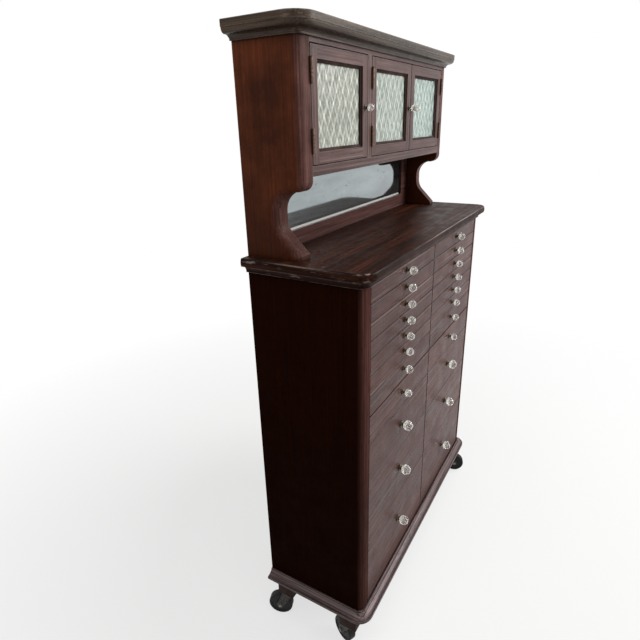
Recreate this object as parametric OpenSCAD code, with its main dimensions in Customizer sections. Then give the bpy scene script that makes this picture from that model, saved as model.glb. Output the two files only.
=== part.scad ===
// Dental cabinet. A base case with two columns of drawers stands on swivel casters.
// Over its worktop, S-curved sides carry an upper cabinet with three glazed doors,
// and a bevelled mirror closes the nook below it.
// X runs along the width, the front faces -Y, Z is up. The origin is on the floor,
// under the centre of the whole.

/* [Base case] */
// Width over the two sides
case_w = 940; // [860:5:1020]
// Depth from the drawer fronts to the back
case_d = 310; // [300:5:360]
// Height from the plinth's top line to the worktop's underside
case_h = 960; // [930:5:990]
// Thickness of the side panels
side_t = 20; // [16:1:24]
// Width of the front posts beside the drawers
post_w = 38; // [34:1:44]
// Depth of the front posts
post_d = 40; // [30:1:50]
// Radius of the vertical corners of the front posts
corner_r = 18; // [12:1:22]
// Thickness of the partition between the two columns
partition_t = 18; // [14:1:22]
// Thickness of the back boards
back_t = 10; // [8:1:12]

/* [Worktop] */
// Thickness of the worktop
top_t = 38; // [32:1:44]
// Overhang of the worktop beyond the front and the sides
top_over = 27; // [22:1:32]

/* [Plinth and casters] */
// Height from the floor to the plinth's top line
base_z = 165; // [155:1:180]
// Projection of the plinth moulding
plinth_out = 25; // [20:1:30]
// Height of the plinth moulding
plinth_h = 24; // [22:1:28]
// Diameter of a caster wheel
wheel_d = 75; // [65:1:78]
// Width of a caster wheel
wheel_w = 24; // [20:1:28]
// Distance from a caster's swivel axis to its wheel's axle
caster_trail = 32; // [24:1:34]
// Distance from the case's side faces to a caster's swivel axis
caster_side_inset = 10; // [8:1:40]
// Distance from the drawer fronts to the front casters' swivel axes
caster_front_inset = 37; // [34:1:60]
// Distance from the case's back to the rear casters' swivel axes
caster_rear_inset = 58; // [50:1:70]

/* [Drawers] */
// Pitch of the six shallow drawers
shallow_pitch = 45.5; // [42:0.5:47]
// Pitch of the seventh drawer
seventh_pitch = 64; // [58:1:68]
// Pitch of the eighth drawer
eighth_pitch = 80; // [72:1:90]
// Pitch of the ninth drawer
ninth_pitch = 140; // [130:1:150]
// Pitch of the tenth drawer
tenth_pitch = 170; // [160:1:180]
// Height of the gap under the seventh drawer
rail_gap = 3; // [2:0.5:5]
// Gap between the two columns of fronts
centre_gap = 6; // [2:0.5:8]
// Gap between two drawer fronts of a column
front_gap = 1.6; // [1:0.1:2.4]
// Thickness of a drawer front
front_t = 18; // [15:1:20]
// Thickness of a drawer's side and back boards
box_t = 9; // [7:1:11]
// Thickness of a drawer's bottom board
bottom_t = 4; // [3:0.5:5]
// Diameter of the knobs on the eight upper drawers
small_knob_d = 23; // [20:1:25]
// Diameter of the knobs on the three lower drawers
large_knob_d = 31; // [28:1:33]

/* [Upper cabinet] */
// How far each side of the upper cabinet stands in from the case's side
hutch_inset = 4; // [0:1:12]
// Depth of the upper cabinet
hutch_d = 162; // [150:2:180]
// Thickness of the upper cabinet's sides
hutch_side_t = 45; // [40:1:50]
// Radius of the sides' rounded front edges
hutch_r = 20; // [16:1:22]
// Height of the nook over the worktop
nook_h = 184; // [170:2:200]
// Height of the doors' opening
door_open_h = 241; // [220:1:260]
// Thickness of the floor board and the mullion
board_t = 22; // [18:1:26]
// Thickness of a door
door_t = 18; // [16:1:20]
// Width of the doors' stiles and rails
stile_w = 26; // [22:1:30]
// Gap round a door
door_gap = 2.2; // [1.8:0.1:3]
// Diameter of a door knob
door_knob_d = 19; // [16:1:21]

/* [Cornice] */
// Projection of the cornice
cornice_out = 32; // [26:1:38]
// Height of the cornice
cornice_h = 37; // [34:1:42]
// Height of the flat band at the top of the cornice
band_h = 15; // [12:1:16]

/* [Mirror] */
// Height of the mirror frame's bottom rail
mirror_rail = 41; // [34:1:48]
// Width of the mirror frame's stiles
mirror_stile = 50; // [40:1:56]
// Depth of the mirror frame
mirror_frame_d = 41; // [36:1:46]
// Thickness of the mirror
mirror_t = 5; // [4:0.5:6]

/* [Hidden] */
$fn = 48;

mahogany = "#4a2418";
front_wood = "#5a3a35";
inner_wood = "#8a6a4a";
brass = "#5b4a2e";
glass = "#e6eeea";
mirror_grey = "#aeb9bd";
black_rubber = "#18181a";
bronzed = "#3a281c";

// Clearances. A hairline parts the glued boards of one drawer or one frame.
run_gap = 0.3;
hairline = 0.1;
pin_clear = 0.05;

// Knobs: the rose lies on the front, then come the stem and the glass
rose_t = 3;
stem_len = 5;
function knob_depth(d) = 0.8 * d;
function knob_out(d) = rose_t + stem_len + 2 * hairline + knob_depth(d);

// Casters at rest. The wheels of two of them stand out beyond the case.
front_left_turn = 65;
front_right_turn = -70;
rear_left_turn = 110;
rear_right_turn = 130;
tread_r = 4;
function wheel_reach(turn) = (caster_trail + wheel_d / 2 - tread_r) * sin(turn)
    + (wheel_w / 2 - tread_r) * abs(cos(turn)) + tread_r;
front_over = wheel_reach(-front_right_turn) - caster_front_inset;
rear_over = max(0, max(wheel_reach(rear_left_turn), wheel_reach(rear_right_turn)) - caster_rear_inset);

front_out = max(knob_out(large_knob_d), top_over, plinth_out, front_over);
front_y = (front_out - case_d - rear_over) / 2;

// Drawer stack, numbered from the top down to the plinth
shallow_count = 6;
upper_pitches = concat([for (i = [1:shallow_count]) shallow_pitch], [seventh_pitch]);
middle_pitches = [eighth_pitch, ninth_pitch, tenth_pitch];
top_gap = 3;
foot_gap = 6;
function total(v, i = 0) = i < len(v) ? v[i] + total(v, i + 1) : 0;
eleventh_pitch = case_h - top_gap - total(upper_pitches) - rail_gap - total(middle_pitches) - foot_gap;
pitches = concat(upper_pitches, middle_pitches, [eleventh_pitch]);
drawer_count = len(pitches);
function below(i, k = 0) = k < i ? pitches[k] + below(i, k + 1) : 0;
function drawer_z(n) = case_h - top_gap - below(n) - (n > len(upper_pitches) ? rail_gap : 0);
function front_h(n) = pitches[n - 1] - front_gap;

// Drawer columns
opening_w = case_w / 2 - post_w;
front_x0 = front_gap - opening_w;
front_x1 = -centre_gap / 2;
runner_h = 10;
post_clear = 2;
inner_clear = 5;
box_x0 = -opening_w + post_clear;
box_x1 = -partition_t / 2 - inner_clear;
stop_y = front_t + run_gap;
box_back = case_d - back_t - 14;
knob_rise = 0.06;

// Upper cabinet
hutch_w = case_w - 2 * hutch_inset;
hutch_y = case_d - hutch_d;
top_z = case_h + top_t;
hutch_in = hutch_w / 2 - hutch_side_t;
floor_z = nook_h;
door_z0 = floor_z + board_t;
door_z1 = door_z0 + door_open_h;
cornice_z = door_z1 + 10;
cap_z = cornice_z + cornice_h - 22;
hinge_gap = 3;
door_w = (2 * hutch_in - board_t) / 3;
mullion_x = -hutch_in + door_w;
hutch_back_y = hutch_d - back_t;
shelf_t = 10;

// The S-curve below the doors, as distances back from the doors' faces and up from the
// worktop: a nose, a short level, a wide sweep, a low round, a slope and an upright toe
s_size = nook_h / 184;
nose = 24 * s_size;
nose_z = 153 * s_size;
level_y = 26 * s_size;
sweep = 46 * s_size;
sweep_z = nose_z - sweep;
low = 50 * s_size;
low_y = 22 * s_size;
low_z = 88 * s_size;
slope_y = low_y + low * cos(45);
slope_z = low_z - low * sin(45);
toe_y = 15 * s_size;
toe_z = slope_z - slope_y + toe_y;

// Hinges
hinge_h = 47;
knuckle_r = 3.2;
hinge_pin_r = 1.5;
leaf_t = 1.2;
leaf_d = 14;
axis_y = -(knuckle_r + run_gap);
hinge_inset = 28;

// Casters. Their blocks lie under the floor board and the plinth.
floor_t = plinth_h;
block_w = 52;
block_h = 45;
plate_w = 48;
plate_z = -floor_t - block_h;
crown_z = plate_z - 3 - run_gap;
crown_t = 8;
king_r = 5;
axle_r = 4;
axle_z = wheel_d / 2 - base_z;
arm_t = 3;
arm_in = wheel_w / 2 + 1;
caster_x = case_w / 2 - caster_side_inset;
front_caster_y = caster_front_inset;
rear_caster_y = case_d - caster_rear_inset;

// The case frame: X from the centre, Y from the drawer fronts, Z from the plinth's top line
module in_case() {
    translate([0, front_y, base_z]) children();
}

// The hutch frame: Y from the doors' faces, Z from the worktop
module in_hutch() {
    in_case() translate([0, hutch_y, top_z]) children();
}

// A plan outline with rounded front corners
module rounded_plan(w, d, r) {
    translate([-w / 2, r]) square([w, d - r]);
    translate([-w / 2 + r, 0]) square([w - 2 * r, d]);
    for (s = [-1, 1]) translate([s * (w / 2 - r), r]) circle(r);
}

// A moulding round the front and both sides of a plan, drawn as (outwards, up)
module moulded_run(w, d, r) {
    translate([r - w / 2, 0, 0]) mirror([0, 1, 0]) rotate([90, 0, 90])
        linear_extrude(w - 2 * r) children();
    for (s = [0, 1]) mirror([s, 0, 0]) {
        translate([-w / 2, d, 0]) mirror([1, 0, 0]) rotate([90, 0, 0])
            linear_extrude(d - r) children();
        translate([r - w / 2, r, 0]) rotate([0, 0, 180])
            rotate_extrude(angle = 90) translate([r, 0]) children();
    }
}

// Base case

module base_side() {
    color(mahogany) in_case() translate([-case_w / 2, 0, 0]) linear_extrude(case_h) {
        translate([0, corner_r]) square([side_t, case_d - corner_r]);
        translate([0, corner_r]) square([post_w, post_d - corner_r]);
        translate([corner_r, 0]) square([post_w - corner_r, post_d]);
        translate([corner_r, corner_r]) circle(corner_r);
    }
}

module base_back() {
    color(inner_wood) in_case() translate([side_t - case_w / 2, case_d - back_t, 0])
        cube([case_w - 2 * side_t, back_t, case_h]);
}

module base_floor() {
    color(inner_wood) in_case() translate([0, 0, -floor_t])
        linear_extrude(floor_t) rounded_plan(case_w, case_d, corner_r);
}

module centre_partition() {
    color(inner_wood) in_case() translate([-partition_t / 2, stop_y, 0])
        cube([partition_t, case_d - back_t - stop_y, case_h]);
}

// Each drawer slides on a strip along the side and one along the partition
module drawer_runners() {
    side_x = side_t - case_w / 2;
    inner_x = box_x1 - box_t - 2;
    color(inner_wood) in_case() for (s = [0, 1], n = [1:drawer_count]) mirror([s, 0, 0])
        translate([0, 0, drawer_z(n) + (n == drawer_count ? -foot_gap : 0)]) {
            h = runner_h + (n == drawer_count ? foot_gap : 0);
            translate([side_x, post_d, 0])
                cube([box_x0 + box_t + 2 - side_x, case_d - back_t - post_d, h]);
            translate([inner_x, stop_y, 0])
                cube([-partition_t / 2 - inner_x, case_d - back_t - stop_y, h]);
        }
}

// The worktop's edge: a gently swelled band with a rounded arris over a cove
module worktop_edge() {
    band = top_t / 2 + 1;
    arris = 4;
    bulge = 1.5;
    face = top_over - bulge;
    cove = top_t - band - 2;
    foot = top_over - 3 - cove;
    flat_h = band - arris;
    bulge_r = flat_h * flat_h / (8 * bulge) + bulge / 2;
    translate([-2, 0]) square([foot + 2, top_t]);
    translate([-2, top_t - band]) square([face + 2, flat_h]);
    translate([-2, top_t - arris]) square([face - arris + 2, arris]);
    translate([face - arris, top_t - arris]) circle(arris);
    intersection() {
        translate([top_over - bulge_r, top_t - band + flat_h / 2]) circle(bulge_r);
        translate([face, top_t - band]) square([2 * bulge, flat_h]);
    }
    difference() {
        square([top_over - 3, top_t - band]);
        translate([top_over - 3, 2]) circle(cove);
        translate([foot, -1]) square([top_over, 3]);
    }
}

module worktop() {
    color(mahogany) in_case() translate([0, 0, case_h]) {
        linear_extrude(top_t) rounded_plan(case_w, case_d, corner_r);
        moulded_run(case_w, case_d, corner_r) worktop_edge();
    }
}

// A round that hollows the line between two points by a depth
module hollow(a, b, depth) {
    chord = norm(b - a);
    r = chord * chord / (8 * depth) + depth / 2;
    across = [a.y - b.y, b.x - a.x] / chord;
    translate((a + b) / 2 + (r - depth) * across) circle(r);
}

// The plinth's edge: a bead, an ogee slope and a narrow flat foot
module plinth_edge() {
    bead = 2.5;
    foot = 8;
    slope = plinth_h - foot;
    translate([0, -plinth_h]) square([plinth_out, foot]);
    translate([0, -plinth_h]) square([bead, plinth_h - bead]);
    translate([bead, -bead]) circle(bead);
    translate([0, -2 * bead]) square([bead, 2 * bead]);
    top = [2 * bead, -2 * bead];
    end = [plinth_out - 2, -slope];
    difference() {
        polygon([[0, top.y], top, end, [0, end.y]]);
        hollow(top, end, 2);
    }
}

module plinth() {
    color(mahogany) in_case() moulded_run(case_w, case_d, corner_r) plinth_edge();
}

// Casters

module at_casters() {
    for (s = [-1, 1], y = [front_caster_y, rear_caster_y])
        in_case() translate([s * caster_x, y, 0]) children();
}

module caster_blocks() {
    color(mahogany) at_casters() translate([-block_w / 2, -block_w / 2, plate_z])
        cube([block_w, block_w, block_h]);
}

// A plate under each block carries the king pin and its head
module caster_plates() {
    pin_end = crown_z - crown_t - run_gap;
    color(bronzed) at_casters() {
        translate([-plate_w / 2, -plate_w / 2, plate_z - 3]) cube([plate_w, plate_w, 3]);
        translate([0, 0, pin_end - 3]) cylinder(r = king_r, h = plate_z - pin_end + 2);
        translate([0, 0, pin_end - 3]) cylinder(r = king_r + 3, h = 3);
    }
}

module at_caster(x, y, turn) {
    in_case() translate([x, y, 0]) rotate([0, 0, turn]) children();
}

module fork_arm() {
    crown_half = 14;
    translate([0, arm_in + arm_t, 0]) rotate([90, 0, 0]) linear_extrude(arm_t) {
        translate([caster_trail, axle_z]) circle(11);
        polygon([
            [-crown_half, crown_z], [crown_half + 8, crown_z],
            [caster_trail + 11, axle_z], [caster_trail - 11, axle_z]
        ]);
    }
}

module caster_fork(x, y, turn) {
    width = 2 * (arm_in + arm_t);
    color(bronzed) at_caster(x, y, turn) difference() {
        union() {
            for (s = [0, 1]) mirror([0, s, 0]) fork_arm();
            translate([-14, -width / 2, crown_z - crown_t]) cube([36, width, crown_t]);
            translate([caster_trail, width / 2 + 2, axle_z]) rotate([90, 0, 0])
                cylinder(r = axle_r, h = width + 4);
            for (s = [-1, 1]) translate([caster_trail, s * (width / 2 + 1), axle_z])
                rotate([90, 0, 0]) cylinder(r = 7, h = 2, center = true);
        }
        translate([0, 0, crown_z - crown_t - 1])
            cylinder(r = king_r + pin_clear, h = crown_t + 2);
    }
}

// A black wheel with a rounded tread, and a raised hub round its bore
module caster_wheel(x, y, turn) {
    r = wheel_d / 2;
    edge = tread_r;
    color(black_rubber) at_caster(x, y, turn) translate([caster_trail, 0, axle_z])
        rotate([90, 0, 0]) rotate_extrude() difference() {
            union() {
                translate([0, -wheel_w / 2]) square([r - edge, wheel_w]);
                translate([0, edge - wheel_w / 2]) square([r, wheel_w - 2 * edge]);
                for (s = [-1, 1]) translate([r - edge, s * (wheel_w / 2 - edge)]) circle(edge);
            }
            for (s = [-1, 1]) translate([r * 0.35, s * (wheel_w / 2) - 1.5])
                square([r * 0.42, 3]);
            translate([-1, -wheel_w]) square([axle_r + pin_clear + 1, 2 * wheel_w]);
        }
}

// Knobs

// An eight-sided glass knob on a brass rose and stem, pointing along -Y
module knob_metal(d) {
    rotate([90, 0, 0]) rotate_extrude() {
        square([0.36 * d, rose_t - 1]);
        square([0.3 * d, rose_t]);
        square([0.17 * d, rose_t + stem_len]);
        translate([0, rose_t + stem_len - 2]) square([0.24 * d, 2]);
    }
}

module knob_glass(d) {
    base = rose_t + stem_len + hairline;
    depth = knob_depth(d);
    rotate([90, 0, 0]) translate([0, 0, base]) rotate([0, 0, 22.5])
        rotate_extrude($fn = 8) polygon([
            [0, 0], [0.22 * d, 0], [0.45 * d, 0.2 * depth], [0.5 * d, 0.42 * depth],
            [0.46 * d, 0.72 * depth], [0.27 * d, depth], [0, depth]
        ]);
}

// Drawers

// A drawer front with eased long edges
module front_board(w, h) {
    ease = 1.5;
    rotate([90, 0, 90]) linear_extrude(w) polygon([
        [ease, 0], [front_t, 0], [front_t, h], [ease, h], [0, h - ease], [0, ease]
    ]);
}

// One drawer of the left column, from its front to its back board
module drawer_body(n) {
    h = front_h(n);
    box_z = runner_h + run_gap;
    box_h = h - box_z - 5;
    z = drawer_z(n);
    d = n > 8 ? large_knob_d : small_knob_d;
    inner_x = box_x0 + box_t + hairline;
    inner_w = box_x1 - box_t - hairline - inner_x;
    box_y = front_t + hairline;
    knob_z = h / 2 + knob_rise * h;
    knob_x = (front_x0 + front_x1) / 2;
    in_case() translate([0, 0, z]) {
        color(front_wood) translate([front_x0, 0, 0]) front_board(front_x1 - front_x0, h);
        color(inner_wood) {
            for (x = [box_x0, box_x1 - box_t])
                translate([x, box_y, box_z]) cube([box_t, box_back - box_y, box_h]);
            translate([inner_x, box_back - box_t, box_z]) cube([inner_w, box_t, box_h]);
            translate([inner_x, box_y, box_z + 1])
                cube([inner_w, box_back - box_t - hairline - box_y, bottom_t]);
        }
        translate([knob_x, 0, knob_z]) {
            color(brass) translate([0, -hairline, 0]) knob_metal(d);
            color(glass) translate([0, -hairline, 0]) knob_glass(d);
        }
    }
}

module drawer(side, n) {
    mirror([side == "right" ? 1 : 0, 0, 0]) drawer_body(n);
}

// Upper cabinet

// The side's outline
module s_curve_outline(height) {
    cut = 2 * hutch_d;
    difference() {
        square([hutch_d, height]);
        translate([level_y - cut, sweep_z]) square([cut, sweep]);
        translate([level_y, sweep_z]) circle(sweep);
        translate([low_y + low - cut, low_z]) square([cut, sweep_z - low_z]);
        translate([low_y, low_z]) circle(low);
        polygon([
            [-cut, low_z + 1], [low_y, low_z + 1], [slope_y, slope_z],
            [toe_y, toe_z], [toe_y, -1], [-cut, -1]
        ]);
        difference() {
            translate([-1, nose_z - 1]) square([nose + 1, nose + 1]);
            translate([nose, nose_z + nose]) circle(nose);
        }
    }
}

// What a rounded edge leaves out of a square one
module edge_corner() {
    difference() {
        translate([-1, -1]) square([hutch_r + 1, hutch_r + 1]);
        translate([hutch_r, hutch_r]) circle(hutch_r);
    }
}

// The same along an arc of the outline. Angle 0 points down, 90 to the back.
module edge_arc(y, z, from, angle) {
    translate([0, y, z]) rotate([0, 90, 0]) rotate([0, 0, from])
        rotate_extrude(angle = angle) children();
}

// The part that the outer edge loses where it is rounded along the S-curve. The slope's
// rounding is a trace shallower than the low arc's, so the two meet in a clean line.
module s_curve_edge() {
    trace = 0.2;
    edge_arc(nose, nose_z + nose, 270, 90) translate([nose, 0]) mirror([1, 0]) edge_corner();
    translate([0, level_y, nose_z]) rotate([90, 0, 0]) linear_extrude(level_y - nose) edge_corner();
    edge_arc(level_y, sweep_z, 90, 90) translate([sweep, 0]) edge_corner();
    translate([0, low_y + low, low_z]) linear_extrude(sweep_z - low_z) edge_corner();
    edge_arc(low_y, low_z, 0, 90) translate([low, 0]) edge_corner();
    translate([0, toe_y, toe_z]) rotate([-45, 0, 0]) translate([0, -trace, -hutch_r])
        linear_extrude(norm([slope_y - toe_y, slope_z - toe_z]) + hutch_r) edge_corner();
    translate([0, toe_y, -1]) linear_extrude(toe_z + 1) edge_corner();
}

module hutch_side() {
    color(mahogany) in_hutch() difference() {
        intersection() {
            translate([-hutch_w / 2, 0, 0]) rotate([90, 0, 90])
                linear_extrude(hutch_side_t) s_curve_outline(cap_z);
            linear_extrude(cap_z) rounded_plan(hutch_w, hutch_d, hutch_r);
        }
        translate([-hutch_w / 2, 0, 0]) s_curve_edge();
    }
}

module hutch_board(z, t) {
    color(mahogany) in_hutch() translate([-hutch_in, 0, z])
        cube([2 * hutch_in, hutch_back_y, t]);
}

module hutch_floor() {
    hutch_board(floor_z, board_t);
}

module hutch_top() {
    hutch_board(door_z1, cap_z - door_z1);
}

module hutch_mullion() {
    color(mahogany) in_hutch() translate([mullion_x, 0, door_z0])
        cube([board_t, hutch_back_y, door_open_h]);
}

module hutch_shelves() {
    y = door_t + 12;
    z = door_z0 + door_open_h / 2;
    color(inner_wood) in_hutch() {
        translate([-hutch_in, y, z]) cube([door_w, hutch_back_y - y, shelf_t]);
        translate([mullion_x + board_t, y, z]) cube([2 * door_w, hutch_back_y - y, shelf_t]);
    }
}

module hutch_back() {
    color(inner_wood) in_hutch() translate([-hutch_in, hutch_back_y, 0])
        cube([2 * hutch_in, back_t, cap_z]);
}

// The cornice's edge: a flat band, a groove, a round, a shallow cove and a fillet
module cornice_edge() {
    foot = 6;
    fillet = 4;
    groove = 1.5;
    arris = 3;
    round_r = 10;
    crown_h = cornice_h - band_h;
    under = [cornice_out - groove - round_r, crown_h - groove - round_r];
    start = under - [1, 0];
    end = [foot + 1, fillet];
    translate([-2, 0]) square([foot + 2, cornice_h]);
    translate([-2, crown_h]) square([cornice_out + 2, band_h - arris]);
    translate([-2, cornice_h - arris]) square([cornice_out - arris + 2, arris]);
    translate([cornice_out - arris, cornice_h - arris]) circle(arris);
    translate([-2, crown_h - groove]) square([cornice_out - groove, groove]);
    translate([-2, under.y]) square([under.x + 2, round_r]);
    translate(under + [0, round_r]) circle(round_r);
    difference() {
        polygon([[-2, fillet], end, start, [-2, start.y]]);
        hollow(start, end, 2);
    }
}

module cornice() {
    color(mahogany) in_hutch() {
        translate([0, 0, cap_z]) linear_extrude(cornice_z + cornice_h - cap_z)
            rounded_plan(hutch_w, hutch_d, hutch_r);
        difference() {
            translate([0, 0, cornice_z]) moulded_run(hutch_w, hutch_d, hutch_r) cornice_edge();
            translate([0, 0, cornice_z - 1]) linear_extrude(cap_z - cornice_z + 1)
                rounded_plan(hutch_w, hutch_d + 1, hutch_r);
        }
    }
}

// Mirror

mirror_y = hutch_back_y - mirror_frame_d;
mirror_lip = 8;
mirror_x = hutch_in - mirror_stile;
mirror_top = nook_h - 16;
bevel_w = 22;
bevel_drop = 2;
pane_w = 2 * (mirror_x + mirror_lip - hairline);
pane_h = mirror_top - mirror_rail + 2 * (mirror_lip - hairline);
// The bevel rests on the frame's lip, so the flat of the glass stands a little proud of it
pane_front = mirror_lip - bevel_drop * (1 - mirror_lip / bevel_w) + hairline;

// The frame, and a backing board that fills it behind the glass
module mirror_frame() {
    backing_y = pane_front + mirror_t + hairline;
    color(mahogany) in_hutch() translate([0, mirror_y, 0]) {
        difference() {
            translate([-hutch_in, 0, 0]) cube([2 * hutch_in, mirror_frame_d, nook_h]);
            translate([-mirror_x, -1, mirror_rail])
                cube([2 * mirror_x, mirror_frame_d + 2, mirror_top - mirror_rail]);
            translate([-mirror_x - mirror_lip, mirror_lip, mirror_rail - mirror_lip]) cube([
                2 * (mirror_x + mirror_lip), mirror_frame_d,
                mirror_top - mirror_rail + 2 * mirror_lip
            ]);
        }
        translate([-pane_w / 2, backing_y, mirror_rail - mirror_lip + hairline])
            cube([pane_w, mirror_frame_d - backing_y, pane_h]);
    }
}

// A pane's section across its bevels, from its front face backward
module bevelled(width) {
    polygon([
        [0, bevel_drop], [bevel_w, 0], [width - bevel_w, 0], [width, bevel_drop],
        [width, mirror_t], [0, mirror_t]
    ]);
}

module mirror_pane() {
    color(mirror_grey) in_hutch()
        translate([-pane_w / 2, mirror_y + pane_front, mirror_rail - mirror_lip + hairline])
            intersection() {
                linear_extrude(pane_h) bevelled(pane_w);
                translate([pane_w, 0, 0]) rotate([0, -90, 0])
                    linear_extrude(pane_w) bevelled(pane_h);
            }
}

// Doors

// A door's left edge, in the hutch frame
door_x = [-hutch_in, mullion_x + board_t, mullion_x + board_t + door_w];

// The gap at the hinges holds two leaves, and the gap at the other side is narrower.
// Every door is drawn with its hinges on the left, and the right one is mirrored.
module at_door(k) {
    w = door_w;
    in_hutch() translate([k == 2 ? door_x[k] + w : door_x[k], 0, door_z0])
        mirror([k == 2 ? 1 : 0, 0, 0]) children();
}

leaf_w = door_w - hinge_gap - door_gap;
leaf_h = door_open_h - 2 * door_gap;
pane_lip = 6;
pane_y = 8;
pane_t = 3;

// Two stiles, and two rails between them
module door_frame(k) {
    color(front_wood) at_door(k) translate([hinge_gap, 0, door_gap]) difference() {
        cube([leaf_w, door_t, leaf_h]);
        translate([stile_w, -1, stile_w])
            cube([leaf_w - 2 * stile_w, door_t + 2, leaf_h - 2 * stile_w]);
        translate([stile_w - pane_lip, pane_y, stile_w - pane_lip])
            cube([leaf_w - 2 * (stile_w - pane_lip), door_t, leaf_h - 2 * (stile_w - pane_lip)]);
        for (x = [stile_w - hairline, leaf_w - stile_w], z = [-1, leaf_h - stile_w - 1])
            translate([x, -1, z]) cube([hairline, door_t + 2, stile_w + 2]);
    }
}

module door_glass(k) {
    inset = stile_w - pane_lip + hairline;
    color(glass) at_door(k) translate([hinge_gap + inset, pane_y, door_gap + inset])
        cube([leaf_w - 2 * inset, pane_t, leaf_h - 2 * inset]);
}

module at_hinges(k) {
    for (z = [hinge_inset, door_open_h - hinge_inset - hinge_h])
        at_door(k) translate([hinge_gap / 2, axis_y, z]) children();
}

// A butt hinge has three knuckles: the two outer ones are fixed, the middle one moves
third = hinge_h / 3;

module knuckle(z, h) {
    translate([0, 0, z]) cylinder(r = knuckle_r, h = h);
}

module knuckle_bore() {
    translate([0, 0, -1]) cylinder(r = hinge_pin_r + pin_clear, h = hinge_h + 2);
}

module hinge_leaf_fixed() {
    difference() {
        union() {
            translate([-hinge_gap / 2, 0, 0]) cube([leaf_t, leaf_d, hinge_h]);
            knuckle(0, third - run_gap);
            knuckle(2 * third + run_gap, third - run_gap);
        }
        translate([-2 * knuckle_r, -2 * knuckle_r, third - run_gap])
            cube([4 * knuckle_r, 3 * knuckle_r + 1, third + 2 * run_gap]);
        knuckle_bore();
    }
}

module hinge_leaf_moving() {
    difference() {
        union() {
            translate([hinge_gap / 2 - leaf_t, 0, 0]) cube([leaf_t, leaf_d, hinge_h]);
            knuckle(third, third);
        }
        for (z = [-1, 2 * third]) translate([-2 * knuckle_r, -2 * knuckle_r, z])
            cube([4 * knuckle_r, 3 * knuckle_r + 1, third + 1]);
        knuckle_bore();
    }
}

// The pin has a small round head at each end
module hinge_pin() {
    head = 2;
    seat = 2 * hairline;
    translate([0, 0, -seat - head]) cylinder(r = hinge_pin_r, h = hinge_h + 2 * (seat + head));
    for (z = [-seat - head, hinge_h + seat]) translate([0, 0, z])
        cylinder(r = 0.85 * knuckle_r, h = head);
}

module fixed_hinge_halves() {
    color(brass) for (k = [0:2]) at_hinges(k) {
        hinge_leaf_fixed();
        hinge_pin();
    }
}

module door_hardware(k) {
    color(brass) at_hinges(k) hinge_leaf_moving();
    at_door(k) translate([hinge_gap + leaf_w - stile_w / 2, -hairline, door_open_h / 2]) {
        color(brass) knob_metal(door_knob_d);
        color(glass) knob_glass(door_knob_d);
    }
}

base_side();  // base_side_left
mirror([1, 0, 0]) base_side();  // base_side_right
base_back();
base_floor();
centre_partition();
drawer_runners();
worktop();
plinth();
caster_blocks();
caster_plates();
hutch_side();  // hutch_side_left
mirror([1, 0, 0]) hutch_side();  // hutch_side_right
hutch_floor();
hutch_top();
hutch_mullion();
hutch_shelves();
hutch_back();
cornice();
mirror_frame();
mirror_pane();  // mirror
fixed_hinge_halves();
door_frame(0);  // door_left_frame
door_glass(0);  // door_left_glass
door_hardware(0);  // door_left_hardware
door_frame(1);  // door_middle_frame
door_glass(1);  // door_middle_glass
door_hardware(1);  // door_middle_hardware
door_frame(2);  // door_right_frame
door_glass(2);  // door_right_glass
door_hardware(2);  // door_right_hardware
for (end = ["front", "rear"], side = ["left", "right"]) {
    x = side == "left" ? -caster_x : caster_x;
    y = end == "front" ? front_caster_y : rear_caster_y;
    turn = end == "front"
        ? (side == "left" ? front_left_turn : front_right_turn)
        : (side == "left" ? rear_left_turn : rear_right_turn);
    fork = str("caster_fork_", end, "_", side);
    wheel = str("caster_wheel_", end, "_", side);
    caster_fork(x, y, turn);
    caster_wheel(x, y, turn);
}
for (side = ["left", "right"], n = [1:drawer_count]) {
    name = str("drawer_", side, "_", n);
    drawer(side, n);
}
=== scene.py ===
"""Looks of a wooden dental cabinet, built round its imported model."""

import math
from typing import NamedTuple

import bmesh
import bpy
from mathutils import Matrix, Vector


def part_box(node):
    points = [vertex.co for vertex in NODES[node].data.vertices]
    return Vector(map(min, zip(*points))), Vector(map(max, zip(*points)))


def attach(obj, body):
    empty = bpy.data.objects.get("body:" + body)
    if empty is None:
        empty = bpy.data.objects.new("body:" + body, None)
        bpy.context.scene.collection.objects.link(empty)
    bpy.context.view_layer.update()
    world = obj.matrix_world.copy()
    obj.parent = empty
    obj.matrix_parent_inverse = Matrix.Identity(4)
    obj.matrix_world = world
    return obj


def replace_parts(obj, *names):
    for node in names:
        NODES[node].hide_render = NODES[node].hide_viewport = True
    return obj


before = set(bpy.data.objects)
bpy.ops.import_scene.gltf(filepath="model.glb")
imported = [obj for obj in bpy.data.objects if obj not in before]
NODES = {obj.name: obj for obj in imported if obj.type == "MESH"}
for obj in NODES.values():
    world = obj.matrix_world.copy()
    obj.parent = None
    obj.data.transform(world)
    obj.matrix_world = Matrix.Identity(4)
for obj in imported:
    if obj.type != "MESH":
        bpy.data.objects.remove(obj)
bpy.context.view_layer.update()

# Camera: the eye is measured from the middle of the case's front, at the plinth's top line
PHOTO_PX = 640
FOCAL_PX = 493.0
CENTRE_PX = (320.217, 310.554)
EYE = Vector((-1.36756, -0.43524, 1.29415))
YAW_DEG = 58.75
PITCH_DEG = -20.94
ROLL_DEG = -1.56
SENSOR_MM = 36.0

# Light
WHITE = (1.0, 1.0, 1.0)
AMBIENT = 0.22
AMBIENT_COLOUR = (1.0, 0.99, 0.97)
AIM = Vector((0.0, 0.0, 0.85))
# Each lamp: place, size, watts
LAMPS = {
    "key": (Vector((2.1, -2.9, 2.9)), 2.6, 150.0),
    "top": (Vector((-0.3, -0.9, 3.6)), 2.0, 30.0),
    "side": (Vector((-1.5, 0.1, 2.3)), 0.9, 7.0),
}

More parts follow.
